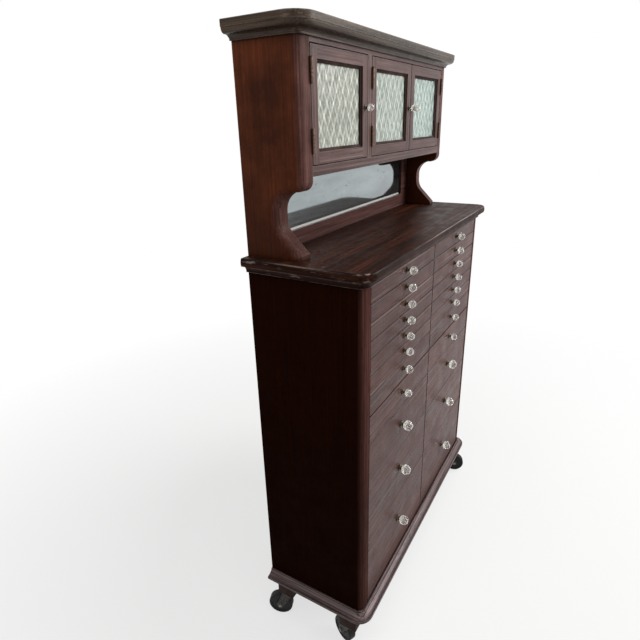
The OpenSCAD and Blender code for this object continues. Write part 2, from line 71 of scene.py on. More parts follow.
# Floor: how much of it is plain white near the cabinet, and where it is white altogether
FLOOR_COLOUR = (0.86, 0.855, 0.84)
FLOOR_GRAIN_SCALE = 60.0
FLOOR_GRAIN_SHADE = 0.97
FLOOR_SIZE = 40.0
FLOOR_WHITE_NEAR = 0.68
FLOOR_FADE_FROM = 0.8
FLOOR_FADE_TO = 2.4

DRAWER_COUNT = 11
SIDES = ("left", "right")
DRAWERS = tuple(f"{side}_{number}" for side in SIDES for number in range(1, DRAWER_COUNT + 1))
DOORS = ("left", "middle", "right")
CASTERS = tuple(f"{end}_{side}" for end in ("front", "rear") for side in SIDES)

X, Y, Z = range(3)


# Shader helpers


def rgba(colour):
    return (*colour, 1.0)


# Cosine between the true and the rounded normal: on a flat face, on an edge
EDGE_COSINES = (0.995, 0.80)
# Share of open air round a point: on an open face, deep in a gap
OPEN_SHARES = (0.72, 0.24)
# Where most values of a noise lie
NOISE_SPAN = (0.3, 0.7)


class Graph:
    """A small builder for the node tree of a material or a world."""

    def __init__(self, owner):
        self.owner = owner
        owner.use_nodes = True
        self.tree = owner.node_tree
        self.tree.nodes.clear()

    def add(self, kind, **settings):
        made = self.tree.nodes.new(kind)
        for key, value in settings.items():
            setattr(made, key, value)
        return made

    def link(self, source, target):
        self.tree.links.new(source, target)

    def feed(self, socket, value):
        """Links an output to a socket, or writes a plain number or colour on it."""
        if isinstance(value, bpy.types.NodeSocket):
            self.link(value, socket)
        elif socket.type == "RGBA":
            socket.default_value = rgba(value)
        else:
            socket.default_value = value

    def maths(self, operation, a, b, clamp=False):
        made = self.add("ShaderNodeMath", operation=operation, use_clamp=clamp)
        self.feed(made.inputs[0], a)
        self.feed(made.inputs[1], b)
        return made.outputs[0]

    def times(self, a, b, clamp=False):
        return self.maths("MULTIPLY", a, b, clamp)

    def plus(self, a, b):
        return self.maths("ADD", a, b)

    def minus(self, a, b, clamp=False):
        return self.maths("SUBTRACT", a, b, clamp)

    def mix(self, factor, a, b):
        """From colour a to colour b."""
        made = self.add("ShaderNodeMix", data_type="RGBA")
        self.feed(made.inputs[0], factor)
        self.feed(made.inputs[6], a)
        self.feed(made.inputs[7], b)
        return made.outputs[2]

    def remap(self, value, low, high, to_low=0.0, to_high=1.0):
        made = self.add("ShaderNodeMapRange")
        self.feed(made.inputs[0], value)
        for number, limit in enumerate((low, high, to_low, to_high)):
            made.inputs[1 + number].default_value = limit
        return made.outputs[0]

    def place(self, scale):
        """Object coordinates, scaled by one number or by one for each axis."""
        coords = self.add("ShaderNodeTexCoord")
        made = self.add("ShaderNodeMapping")
        self.link(coords.outputs["Object"], made.inputs["Vector"])
        made.inputs["Scale"].default_value = scale if isinstance(scale, tuple) else (scale,) * 3
        return made.outputs[0]

    def shift(self, vector, offset):
        made = self.add("ShaderNodeVectorMath", operation="ADD")
        self.feed(made.inputs[0], vector)
        self.feed(made.inputs[1], offset)
        return made.outputs[0]

    def noise(self, vector, detail=4.0, rough=0.55, distortion=0.0):
        made = self.add("ShaderNodeTexNoise")
        self.feed(made.inputs["Vector"], vector)
        made.inputs["Scale"].default_value = 1.0
        made.inputs["Detail"].default_value = detail
        made.inputs["Roughness"].default_value = rough
        made.inputs["Distortion"].default_value = distortion
        return made.outputs["Fac"]

    def ramp(self, value, colours):
        """A colour ramp with its colours at even steps."""
        made = self.add("ShaderNodeValToRGB")
        self.feed(made.inputs[0], value)
        steps = made.color_ramp.elements
        while len(steps) < len(colours):
            steps.new(0.5)
        for number, (step, colour) in enumerate(zip(steps, colours)):
            step.position = number / (len(colours) - 1)
            step.color = rgba(colour)
        return made.outputs[0]

    def part(self, vector, number):
        """One of a vector's three numbers."""
        split = self.add("ShaderNodeSeparateXYZ")
        self.link(vector, split.inputs[0])
        return split.outputs[number]

    def axis(self, number):
        """One of the object coordinates."""
        return self.part(self.add("ShaderNodeTexCoord").outputs["Object"], number)

    def facing(self, number):
        """One part of the surface's normal."""
        return self.part(self.add("ShaderNodeNewGeometry").outputs["Normal"], number)

    def edges(self, radius):
        """Rounded normal, and how near the surface is to an edge."""
        bevel = self.add("ShaderNodeBevel", samples=6)
        bevel.inputs["Radius"].default_value = radius
        geometry = self.add("ShaderNodeNewGeometry")
        dot = self.add("ShaderNodeVectorMath", operation="DOT_PRODUCT")
        self.link(bevel.outputs[0], dot.inputs[0])
        self.link(geometry.outputs["Normal"], dot.inputs[1])
        return bevel.outputs[0], self.remap(dot.outputs["Value"], *EDGE_COSINES)

    def crevice(self, reach):
        """How deep in a groove or gap the surface lies, 0 to 1."""
        made = self.add("ShaderNodeAmbientOcclusion", samples=5)
        made.inputs["Distance"].default_value = reach
        return self.remap(made.outputs["AO"], *OPEN_SHARES)

    def bump(self, height, distance, normal=None, strength=1.0):
        made = self.add("ShaderNodeBump")
        made.inputs["Strength"].default_value = strength
        made.inputs["Distance"].default_value = distance
        self.feed(made.inputs["Height"], height)
        if normal is not None:
            self.link(normal, made.inputs["Normal"])
        return made.outputs[0]

    def seen_plainly(self):
        """1 for what the camera sees straight, in gloss or through glass, 0 for what only lights."""
        path = self.add("ShaderNodeLightPath").outputs
        seen = self.maths("MAXIMUM", path["Is Camera Ray"], path["Is Glossy Ray"])
        return self.maths("MAXIMUM", seen, path["Is Transmission Ray"])

    def glow(self, kind, colour, strength):
        """A background or an emission shader."""
        made = self.add(kind)
        made.inputs[0].default_value = rgba(colour)
        made.inputs[1].default_value = strength
        return made.outputs[0]

    def blend(self, factor, first, second):
        """From one shader to another."""
        made = self.add("ShaderNodeMixShader")
        for socket, source in zip(made.inputs, (factor, first, second)):
            self.link(source, socket)
        return made.outputs[0]

    def show(self, shader, output="ShaderNodeOutputMaterial"):
        """Makes a shader the tree's result."""
        self.link(shader, self.add(output).inputs[0])
        return self.owner

    def finish(self, **inputs):
        """The Principled shader with the given inputs."""
        shader = self.add("ShaderNodeBsdfPrincipled")
        for key, value in inputs.items():
            self.feed(shader.inputs[key.replace("_", " ")], value)
        return self.show(shader.outputs[0])


# Wood


class Wood(NamedTuple):
    """What sets one varnished wood apart from the others."""

    # Dark, middle and light colour
    tones: tuple
    # Contrast: the range of grain values from dark to light; ribbon: the share of broad bands in it
    contrast: float = 0.1
    ribbon: float = 0.38
    # Fibres per metre across the grain
    fine: float = 170.0
    rough: float = 0.4
    gloss: float = 0.5
    tint: tuple = (1.0, 0.9, 0.9)
    # Colour of worn places, also a painted highlight on edges and on a rounded upper edge; how much of
    # it shows on edges, in long streaks, on a rounded upper edge
    wear: tuple = (0.3, 0.2, 0.15)
    edge_wear_and_highlight: float = 0.5
    streak: float = 0.0
    nose: float = 0.0
    # Width of a worn edge, which also carries a painted highlight
    edge: float = 0.0016
    stain: tuple = (0.02, 0.012, 0.01)
    stain_share: float = 0.3
    # Painted light and shade by height: lower height, upper height, brightness at each; darker towards
    # the foot
    fade: tuple = None


# Texture scales, per metre: along the grain and across it, or for x, y and z, or alike in all
FIBRE_ALONG = 3.0
RIBBON_SCALE = (1.5, 30.0)
PORE_SCALE = (34.0, 900.0)
STREAK_SCALE = (1.6, 300.0)
RUB_SCALE = (9.0, 30.0)
SCRAPE_SCALE = (30.0, 14.0, 60.0)
STAIN_SCALE = 6.0
SCUFF_SCALE = 19.0

# Noise values between which each mark goes from none to full
PORE_RANGE = (0.58, 0.70)
STREAK_RANGE = (0.62, 0.70)
RUB_RANGE = (0.36, 0.52)
SCRAPE_RANGE = (0.58, 0.66)
STAIN_RANGE = (0.45, 0.70)
SCUFF_RANGE = (0.38, 0.62)

# Each board's own place in the textures and its own brightness
BOARD_SHIFTS = (7.3, 10.4, 13.5)
BOARD_TONES = (0.85, 1.15)
# Front-to-back part of the normal: beside the front, on the front
FRONT_TURN = (-0.15, -0.75)
# Rounded upper edge: how far its normal has turned, and the fibre values that hold the wear and its
# painted highlight
NOSE_TURN = (0.06, 0.20)
NOSE_FIBRE = (0.42, 0.58)
# Scraped paint at the left end of the worktop: where it starts, where it is full, its share
SCRAPE_X = (-0.42, -0.475)
SCRAPE_SHARE = 0.6

PORE_SHARE = 0.6
PORE_SHADE = 0.3
PORE_DEPTH = 0.5
WOOD_RELIEF = 0.0004
WOOD_RELIEF_SHARE = 0.8
# Roughness where the varnish is polished and where it is scuffed, over the wood's own
ROUGH_SHARES = (0.7, 1.35)
# Painted shade: grooves, gaps and places under overhangs are darkened to this colour, within this
# reach
PAINTED_CREVICE_SHADE = (0.0035, 0.0022, 0.0018)
CREVICE_SHADE_REACH = 0.013


def along(axis, lengthwise, across):
    """Scales that stretch a texture along one axis."""
    return tuple(lengthwise if name == axis else across for name in "xyz")


def board_place(g, chance):
    """An offset in the textures, different for each board."""
    own = g.add("ShaderNodeCombineXYZ")
    for socket, reach in zip(own.inputs, BOARD_SHIFTS):
        g.link(g.times(chance, reach), socket)
    return own.outputs[0]


def grain_layers(g, kind, grain, own):
    """Fibres, pores, and the light and dark that fibres and ribbons make together."""
    fibre_at = g.shift(g.place(along(grain, FIBRE_ALONG, kind.fine)), own)
    fibre = g.noise(fibre_at, detail=5.0, rough=0.62, distortion=0.4)
    ribbon_at = g.shift(g.place(along(grain, *RIBBON_SCALE)), own)
    ribbon = g.noise(ribbon_at, detail=3.0, distortion=1.2)
    pore = g.noise(g.place(along(grain, *PORE_SCALE)), detail=2.0, rough=0.5)
    both = g.plus(g.times(fibre, 1.0 - kind.ribbon), g.times(ribbon, kind.ribbon))
    shade = g.remap(both, 0.5 - kind.contrast, 0.5 + kind.contrast)
    return fibre, g.remap(pore, *PORE_RANGE), shade


def toned(g, kind, chance, colour):
    """Each board a little lighter or darker than the next, and painted light and shade by height:
    darker towards the foot.
    """
    tone = g.add("ShaderNodeHueSaturation")
    value = g.remap(chance, 0.0, 1.0, *BOARD_TONES)
    if kind.fade is not None:
        value = g.times(value, g.remap(g.axis(Z), *kind.fade))
    g.link(value, tone.inputs["Value"])
    g.link(colour, tone.inputs["Color"])
    return tone.outputs[0]


def nose_wear_and_highlight(g, fibre):
    """Rubbed wear and a painted highlight on a rounded upper edge, most where it turns from level to
    upright.
    """
    rise = g.maths("MAXIMUM", g.facing(Z), 0.0)
    square = g.times(rise, rise)
    turn = g.times(square, g.minus(1.0, square))
    return g.times(g.remap(turn, *NOSE_TURN), g.remap(fibre, *NOSE_FIBRE))


def scrape_marks(g):
    """Scraped paint at the left end of the worktop."""
    place = g.remap(g.axis(X), *SCRAPE_X)
    marks = g.noise(g.place(SCRAPE_SCALE), detail=6.0, rough=0.75)
    return g.times(place, g.remap(marks, *SCRAPE_RANGE))


def worn_and_highlighted(g, kind, grain, own, colour, fibre, near, scraped):
    """Streaks and scrapes, and rubbed edges and a rubbed nose that also carry a painted highlight, all
    in the colour of wear.
    """
    marks = []
    if kind.streak > 0.0:
        streak_at = g.shift(g.place(along(grain, *STREAK_SCALE)), own)
        streak = g.noise(streak_at, detail=2.0, rough=0.4)
        marks.append((g.remap(streak, *STREAK_RANGE), kind.streak))
    # Rubbed edges, whose light colour is also a painted highlight along them
    rub = g.noise(g.place(along(grain, *RUB_SCALE)), detail=5.0, rough=0.7)
    marks.append((g.times(near, g.remap(rub, *RUB_RANGE), clamp=True), kind.edge_wear_and_highlight))
    if kind.nose > 0.0:
        marks.append((nose_wear_and_highlight(g, fibre), kind.nose))
    if scraped:
        marks.append((scrape_marks(g), SCRAPE_SHARE))
    for mark, share in marks:
        colour = g.mix(g.times(mark, share), colour, kind.wear)
    return colour


def wood(name, kind, grain, facing=None, scraped=False):
    """Varnished board: grain, pores, stains, wear with a painted highlight on its edges, and painted
    shade in grooves and gaps; its front-facing faces show the kind facing as a painted lit copy.
    """
    g = Graph(bpy.data.materials.new(name))
    chance = g.add("ShaderNodeObjectInfo").outputs["Random"]
    own = board_place(g, chance)
    fibre, pores, shade = grain_layers(g, kind, grain, own)
    colour = g.ramp(shade, kind.tones)
    # Painted light: faces that look to the front take the lighter colours of the kind facing
    if facing is not None:
        colour = g.mix(g.remap(g.facing(Y), *FRONT_TURN), colour, g.ramp(shade, facing.tones))
    colour = toned(g, kind, chance, colour)
    cloud = g.noise(g.place(STAIN_SCALE), detail=5.0, rough=0.65)
    colour = g.mix(g.times(g.remap(cloud, *STAIN_RANGE), kind.stain_share), colour, kind.stain)
    pore_colour = tuple(c * PORE_SHADE for c in kind.tones[0])
    colour = g.mix(g.times(pores, PORE_SHARE), colour, pore_colour)
    normal, near = g.edges(kind.edge)
    colour = worn_and_highlighted(g, kind, grain, own, colour, fibre, near, scraped)
    # Painted shade in grooves, gaps and under overhangs
    colour = g.mix(g.crevice(CREVICE_SHADE_REACH), colour, PAINTED_CREVICE_SHADE)
    scuff = g.noise(g.place(SCUFF_SCALE), detail=6.0, rough=0.7)
    uneven = g.plus(g.times(scuff, 0.5), g.times(fibre, 0.5))
    smooth, scuffed = (min(kind.rough * share, 1.0) for share in ROUGH_SHARES)
    roughness = g.remap(uneven, *SCUFF_RANGE, smooth, scuffed)
    height = g.minus(fibre, g.times(pores, PORE_DEPTH))
    normal = g.bump(height, WOOD_RELIEF, normal, WOOD_RELIEF_SHARE)
    return g.finish(Base_Color=colour, Roughness=roughness, Specular_IOR_Level=kind.gloss,
                    Specular_Tint=kind.tint, Normal=normal)


# Metal: texture scale, width of its bright edges, noise values from clean to dirty
METAL_SCALE = 210.0
METAL_EDGE = 0.0006
METAL_DIRT_RANGE = (0.32, 0.62)
# How much dirt the rubbing takes off an edge, how metallic the dirt still looks
METAL_RUB = 0.35
METAL_UNDER_DIRT = 0.55
METAL_ROUGH_SHARES = (0.75, 1.4)
METAL_RELIEF = 0.00012


def metal(name, clean, tarnish, share, rough):
    """Old metal: bright where it is rubbed, dark in the rest."""
    g = Graph(bpy.data.materials.new(name))
    normal, near = g.edges(METAL_EDGE)
    cloud = g.noise(g.place(METAL_SCALE), detail=6.0, rough=0.7)
    dirt = g.times(g.remap(cloud, *METAL_DIRT_RANGE), share)
    dirt = g.minus(dirt, g.times(near, METAL_RUB), clamp=True)
    colour = g.mix(dirt, clean, tarnish)
    smooth, rusty = (min(rough * part, 1.0) for part in METAL_ROUGH_SHARES)
    roughness = g.remap(cloud, *NOISE_SPAN, smooth, rusty)
    metallic = g.remap(dirt, 0.0, 1.0, 1.0, METAL_UNDER_DIRT)
    normal = g.bump(cloud, METAL_RELIEF, normal, strength=0.5)
    return g.finish(Base_Color=colour, Metallic=metallic, Roughness=roughness, Normal=normal)


GLASS_IOR = 1.5

# Knob glass: its haze, from clear to hazy colour, and the waves of its facets
KNOB_HAZE_SCALE = 160.0
KNOB_HAZE_RANGE = (0.40, 0.60)
KNOB_CLEAR = (1.0, 0.99, 0.95)
KNOB_HAZY = (0.86, 0.83, 0.76)
KNOB_ROUGH = (0.0, 0.03)
# How much light passes, by the haze
KNOB_LIGHT_RANGE = (0.42, 0.52)
KNOB_LIGHT = (0.78, 1.0)
KNOB_WAVE_SCALE = 260.0
KNOB_WAVE = 0.0016


def clear_glass(name):
    """Pressed clear glass of the knobs."""
    g = Graph(bpy.data.materials.new(name))
    haze = g.noise(g.place(KNOB_HAZE_SCALE), detail=3.0)
    colour = g.mix(g.remap(haze, *KNOB_HAZE_RANGE), KNOB_CLEAR, KNOB_HAZY)
    roughness = g.remap(haze, *NOISE_SPAN, *KNOB_ROUGH)
    clear = g.remap(haze, *KNOB_LIGHT_RANGE, *KNOB_LIGHT)
    normal = g.bump(g.noise(g.place(KNOB_WAVE_SCALE), detail=1.0), KNOB_WAVE)
    return g.finish(Base_Color=colour, Roughness=roughness, Transmission_Weight=clear,
                    IOR=GLASS_IOR, Normal=normal)


# Pressed pattern of the panes: crossed ribs with a boss at each crossing, on a lattice of rhombs
LATTICE_W = 0.0295
LATTICE_H = 0.0530
# How high the ribs, the bosses and the hollows' middles stand, as shares of the whole relief
RIB_LEVEL = 0.42
BOSS_LEVEL = 0.62
DISH_LEVEL = 0.20
# A rib's width in the shading, as a share of the lattice, and how sharp its line is
RIB_REACH = 0.22
RIB_SHARPNESS = 1.2
# Fine ripples: their scale, how much painted highlight they add, and how much they roughen the glass
RIPPLE_SCALE = (130.0, 130.0, 75.0)
RIPPLE_RANGE = (0.36, 0.66)
RIPPLE_LEVEL = 0.45
RIPPLE_RELIEF = 0.0012
PANE_LEVELS = (0.15, 0.95)
PANE_CLOUD_SCALE = 9.0
PANE_CLOUD_RANGE = (0.45, 0.7)
PANE_CLOUD_SHARE = 0.25
PANE_CLOUD_SHADE = 0.6
PANE_ROUGH = 0.16
PANE_LIGHT = 0.3
# Colours of each pane: painted shade in the hollows and a painted highlight on the ribs and bosses
PANE_SHADE_AND_HIGHLIGHT = {
    "left": ((0.27, 0.29, 0.23), (0.98, 1.0, 0.90)),
    "middle": ((0.27, 0.32, 0.27), (0.93, 1.0, 0.92)),
    "right": ((0.23, 0.32, 0.28), (0.88, 1.0, 0.96)),
}


def pattern_level(g, node):
    """Height of the pressed pattern at a point of one pane, from its place in the lattice."""
    low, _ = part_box(node)
    across = g.maths("DIVIDE", g.minus(g.axis(X), low.x), LATTICE_W)
    upward = g.maths("DIVIDE", g.minus(g.axis(Z), low.z), LATTICE_H)
    away = [g.maths("PINGPONG", g.maths(sign, across, upward), 0.5) for sign in ("ADD", "SUBTRACT")]
    ribs = [g.maths("POWER", g.remap(d, 0.0, RIB_REACH, 1.0, 0.0), RIB_SHARPNESS) for d in away]
    line = g.times(g.maths("MAXIMUM", *ribs), RIB_LEVEL)
    crossing = g.times(g.times(*ribs), BOSS_LEVEL)
    # The product of the two distances is a quarter at most
    dish = g.times(g.times(*away), 4 * DISH_LEVEL)
    return g.plus(g.plus(line, crossing), dish)


def figured_glass(door):
    """Rolled glass of one door, with a painted highlight on the ribs and bosses that its mesh carries
    and painted shade in the hollows.
    """
    # hollow is the painted shade, boss the painted highlight
    hollow, boss = PANE_SHADE_AND_HIGHLIGHT[door]
    g = Graph(bpy.data.materials.new(f"rippled_glass_{door}"))
    relief = pattern_level(g, f"door_{door}_glass")
    ripple = g.noise(g.place(RIPPLE_SCALE), detail=4.0, rough=0.65)
    level = g.plus(relief, g.times(g.remap(ripple, *RIPPLE_RANGE), RIPPLE_LEVEL))
    colour = g.mix(g.remap(level, *PANE_LEVELS), hollow, boss)
    cloud = g.noise(g.place(PANE_CLOUD_SCALE), detail=4.0)
    cloudy = g.times(g.remap(cloud, *PANE_CLOUD_RANGE), PANE_CLOUD_SHARE)
    colour = g.mix(cloudy, colour, tuple(c * PANE_CLOUD_SHADE for c in hollow))
    normal = g.bump(ripple, RIPPLE_RELIEF, strength=0.8)
    return g.finish(Base_Color=colour, Roughness=PANE_ROUGH, Transmission_Weight=PANE_LIGHT,
                    IOR=GLASS_IOR, Normal=normal)


# Mirror: its colours, and how far up its lower bevel a painted highlight reaches
SILVER = (0.40, 0.45, 0.465)
SILVER_HAZED = (0.25, 0.275, 0.275)
SILVER_SPOT = (0.05, 0.05, 0.045)
PAINTED_BEVEL_HIGHLIGHT = (0.86, 0.88, 0.86)
BRIGHT_BEVEL = 0.0125
BRIGHT_FADE = 0.003
MIRROR_CLOUD_SCALE = (3.0, 3.0, 14.0)
MIRROR_CLOUD_RANGE = (0.25, 0.75)
MIRROR_ROUGH = (0.02, 0.09)
MIRROR_METAL = (1.0, 0.88)
MIRROR_SPOT_SCALE = 120.0
MIRROR_SPOT_RANGE = (0.66, 0.74)
MIRROR_SPOT_SHARE = 0.6
# Upward part of the normal: on the flat glass, on the lower bevel, where the painted highlight lies;
# how much less metallic that is
BEVEL_TURN = (-0.01, -0.04)
BEVEL_PALE = 0.7


def mirror_glass(name):
    """Silvered glass, hazed and clouded, with small dark spots; its lower bevel carries a painted
    highlight.
    """
    g = Graph(bpy.data.materials.new(name))
    cloud = g.noise(g.place(MIRROR_CLOUD_SCALE), detail=5.0, rough=0.6)
    spots = g.noise(g.place(MIRROR_SPOT_SCALE), detail=2.0)
    spotted = g.times(g.remap(spots, *MIRROR_SPOT_RANGE), MIRROR_SPOT_SHARE)
    colour = g.mix(g.remap(cloud, *MIRROR_CLOUD_RANGE), SILVER, SILVER_HAZED)
    colour = g.mix(spotted, colour, SILVER_SPOT)
    # Painted highlight on the lower edge of the bevel, where it faces down
    bright_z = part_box("mirror")[0].z + BRIGHT_BEVEL
    low_down = g.remap(g.axis(Z), bright_z + BRIGHT_FADE, bright_z)
    bright = g.times(g.remap(g.facing(Z), *BEVEL_TURN), low_down)
    colour = g.mix(bright, colour, PAINTED_BEVEL_HIGHLIGHT)
    roughness = g.remap(cloud, *NOISE_SPAN, *MIRROR_ROUGH)
    silver = g.remap(cloud, *NOISE_SPAN, *MIRROR_METAL)
    metallic = g.minus(silver, g.times(bright, BEVEL_PALE), clamp=True)
    return g.finish(Base_Color=colour, Metallic=metallic, Roughness=roughness)


# Rubber: its colours clean, dusty and on scuffed edges, and how much of each shows
RUBBER_BLACK = (0.006, 0.006, 0.0065)
RUBBER_DUST = (0.055, 0.052, 0.048)
RUBBER_DUST_RANGE = (0.50, 0.72)
RUBBER_DUST_SHARE = 0.35
RUBBER_SCUFF = (0.07, 0.066, 0.06)
RUBBER_SCUFF_SHARE = 0.25
RUBBER_SCALE = 90.0
RUBBER_EDGE = 0.0015
RUBBER_RELIEF = 0.0004
RUBBER_ROUGH = (0.42, 0.7)
RUBBER_GLOSS = 0.2


def rubber(name):
    """Old hard black rubber, dusty and scuffed."""
    g = Graph(bpy.data.materials.new(name))
    normal, near = g.edges(RUBBER_EDGE)
    cloud = g.noise(g.place(RUBBER_SCALE), detail=6.0, rough=0.7)
    dust = g.times(g.remap(cloud, *RUBBER_DUST_RANGE), RUBBER_DUST_SHARE)
    colour = g.mix(dust, RUBBER_BLACK, RUBBER_DUST)
    colour = g.mix(g.times(near, RUBBER_SCUFF_SHARE), colour, RUBBER_SCUFF)
    roughness = g.remap(cloud, *NOISE_SPAN, *RUBBER_ROUGH)
    normal = g.bump(cloud, RUBBER_RELIEF, normal, strength=0.5)
    return g.finish(Base_Color=colour, Roughness=roughness, Specular_IOR_Level=RUBBER_GLOSS,
                    Normal=normal)


# The woods and the materials

# Lavender of rubbed varnish, also used as a painted highlight on edges and rounded upper edges
LAVENDER_WEAR_AND_SHEEN = (0.36, 0.29, 0.27)
RED_WEAR = (0.20, 0.11, 0.075)
FRONT = Wood(((0.027, 0.0105, 0.0090), (0.063, 0.0250, 0.0210), (0.128, 0.059, 0.049)),
             contrast=0.165, ribbon=0.2, fine=260.0, rough=0.36, gloss=0.12, tint=(1.0, 0.69, 0.69),
             wear=LAVENDER_WEAR_AND_SHEEN, edge_wear_and_highlight=1.0, streak=0.34, fade=(1.15, 1.5, 1.0, 1.5))
# Painted light: a lighter, greyer copy of the front's mahogany for the door frames, the upper case's
# floor, top and mullion, for the stronger light on the upper front
DOOR = FRONT._replace(tones=((0.034, 0.0175, 0.0155), (0.074, 0.041, 0.037), (0.145, 0.086, 0.079)),
                      gloss=0.14, tint=(1.0, 0.84, 0.82), fade=(1.15, 1.5, 1.0, 1.35))
# Painted shade: a far darker copy of the mahogany for the lower case's sides under the worktop; their
# front-facing edges take the front's colours
SIDE = Wood(((0.0060, 0.0014, 0.0006), (0.0115, 0.0026, 0.0010), (0.019, 0.0048, 0.0019)),
            contrast=0.22, ribbon=0.15, rough=0.7, gloss=0.012, tint=(1.0, 0.5, 0.4), wear=RED_WEAR,
            stain_share=0.0, fade=(0.35, 1.12, 0.72, 1.35))
UPPER_SIDE = Wood(((0.054, 0.0130, 0.0050), (0.080, 0.0205, 0.0082), (0.108, 0.031, 0.0130)),
                  contrast=0.21, ribbon=0.1, fine=260.0, rough=0.45, gloss=0.07, tint=(1.0, 0.7, 0.6),
                  wear=LAVENDER_WEAR_AND_SHEEN, edge_wear_and_highlight=0.6, stain=(0.020, 0.0065, 0.0040), stain_share=0.75,
                  fade=(1.13, 1.36, 0.62, 1.28))
# Painted light: a lighter, greyer copy of the mahogany for the rounded front corners of the upper
# sides
CORNER = Wood(((0.030, 0.0125, 0.0105), (0.088, 0.0385, 0.0330), (0.180, 0.090, 0.077)))
TOP = Wood(((0.0055, 0.0020, 0.0011), (0.020, 0.0064, 0.0034), (0.074, 0.020, 0.0095)),
           contrast=0.125, rough=0.42, gloss=0.045, tint=(1.0, 0.76, 0.62), wear=LAVENDER_WEAR_AND_SHEEN,
           edge_wear_and_highlight=1.0, nose=0.8, edge=0.0022)
TRIM = Wood(((0.014, 0.0078, 0.0046), (0.043, 0.0255, 0.0155), (0.102, 0.068, 0.045)),
            contrast=0.14, fine=240.0, rough=0.30, gloss=0.2, tint=(1.0, 0.92, 0.82),
            wear=(0.34, 0.285, 0.24), edge_wear_and_highlight=0.8, streak=0.2, nose=0.3, edge=0.0014)
FOOT = Wood(((0.010, 0.0040, 0.0036), (0.036, 0.016, 0.0145), (0.095, 0.052, 0.049)),
            contrast=0.13, fine=240.0, rough=0.32, gloss=0.3, tint=(1.0, 0.88, 0.95),
            wear=LAVENDER_WEAR_AND_SHEEN, edge_wear_and_highlight=0.8, nose=0.4, edge=0.0014)
END = Wood(((0.10, 0.055, 0.028), (0.17, 0.10, 0.052), (0.25, 0.16, 0.09)),
           contrast=0.14, rough=0.75, gloss=0.15, edge_wear_and_highlight=0.2)
# Very dark inner wood: partly its own dark varnish, partly painted shade, so the seams between
# drawers, the inside and the glazing beads read as shaded
INNER = Wood(((0.006, 0.0020, 0.0012), (0.022, 0.008, 0.005), (0.050, 0.020, 0.013)),
             rough=0.6, gloss=0.1, edge_wear_and_highlight=0.2)
PALE = Wood(((0.20, 0.12, 0.062), (0.30, 0.195, 0.105), (0.42, 0.29, 0.165)),
            contrast=0.14, rough=0.7, gloss=0.2, wear=(0.45, 0.33, 0.22), stain=(0.12, 0.07, 0.04))

M = {
    "base_side": wood("base_side_mahogany", SIDE, "z", facing=FRONT),
    "hutch_side": wood("upper_side_mahogany", UPPER_SIDE, "z", facing=CORNER),
    "front": wood("front_mahogany", FRONT, "x"),
    "door": wood("door_mahogany", DOOR, "x"),
    "door_up": wood("door_upright_mahogany", DOOR, "z"),
    "top_x": wood("worktop_mahogany", TOP, "x", scraped=True),
    "top_y": wood("worktop_end_mahogany", TOP, "y", scraped=True),
    "trim_x": wood("moulding_mahogany", TRIM, "x"),
    "trim_y": wood("moulding_end_mahogany", TRIM, "y"),
    "foot_x": wood("foot_mahogany", FOOT, "x"),
    "foot_y": wood("foot_end_mahogany", FOOT, "y"),
    "dark": wood("inner_mahogany", INNER, "x"),
    "dark_z": wood("upper_back_board", INNER, "z"),
    "bead": wood("bead_mahogany", INNER, "z"),
    "pale_x": wood("inner_board", PALE, "x"),
    "pale_y": wood("drawer_side_board", PALE, "y"),
    "pale_z": wood("back_board", PALE, "z"),
    "pin": wood("end_grain_pin", END, "x"),
    "brass": metal("aged_brass", (0.24, 0.185, 0.11), (0.020, 0.014, 0.008), 1.25, 0.34),
    "bronze": metal("bronzed_hinge", (0.22, 0.145, 0.10), (0.036, 0.021, 0.015), 0.85, 0.45),
    "iron": metal("dark_iron", (0.09, 0.08, 0.073), (0.014, 0.011, 0.010), 1.1, 0.5),
    "steel": metal("screw_steel", (0.30, 0.29, 0.27), (0.035, 0.026, 0.020), 0.8, 0.4),
    "glass": clear_glass("knob_glass"),
    "mirror": mirror_glass("silvered_glass"),
    "rubber": rubber("black_rubber"),
}
for door in DOORS:
    M[f"pane_{door}"] = figured_glass(door)


# Painting the CAD nodes solid by solid

# Corners that agree to one part in this many of a metre are one corner
WELD_STEPS = 20000
# Less than this counts as the same place
TOUCH = 0.001
# Share of a drawer's width that only its front has, and the least depth of its sides over their width
FULL_WIDTH = 0.98
SIDE_SLENDER = 4
# Sideways part of the normal from which a face belongs to a moulding's run along the side
SIDE_RUN_TURN = 0.05


def solids_of(mesh):
    """The separate solids of a mesh: a list of (face numbers, lowest corner, highest corner)."""
    parent = {}

    def root(key):
        while parent[key] != key:
            parent[key] = parent[parent[key]]
            key = parent[key]
        return key

    keys = [tuple(round(c * WELD_STEPS) for c in v.co) for v in mesh.vertices]
    for key in keys:
        parent.setdefault(key, key)
    for face in mesh.polygons:
        first = root(keys[face.vertices[0]])
        for corner in face.vertices[1:]:
            parent[root(keys[corner])] = first
    groups = {}
    for face in mesh.polygons:
        groups.setdefault(root(keys[face.vertices[0]]), []).append(face.index)
    found = []
    for faces in groups.values():
        points = [mesh.vertices[i].co for f in faces for i in mesh.polygons[f].vertices]
        low = Vector(min(p[axis] for p in points) for axis in range(3))
        high = Vector(max(p[axis] for p in points) for axis in range(3))
        found.append((faces, low, high))
    return found


def drawer_front(node):
    """Lowest and highest corner of a drawer's front board."""
    low_all, high_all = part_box(node)
    least = FULL_WIDTH * (high_all.x - low_all.x)
    wide = [(low, high) for _, low, high in solids_of(NODES[node].data) if high.x - low.x > least]
    return min(wide, key=lambda corners: corners[0].y)


def paint(node, *names):
    """Gives a node its material slots; every face starts with the first."""
    mesh = NODES[node].data
    mesh.materials.clear()
    for name in names:
        mesh.materials.append(M[name])
    for face in mesh.polygons:
        face.material_index = 0
    return mesh


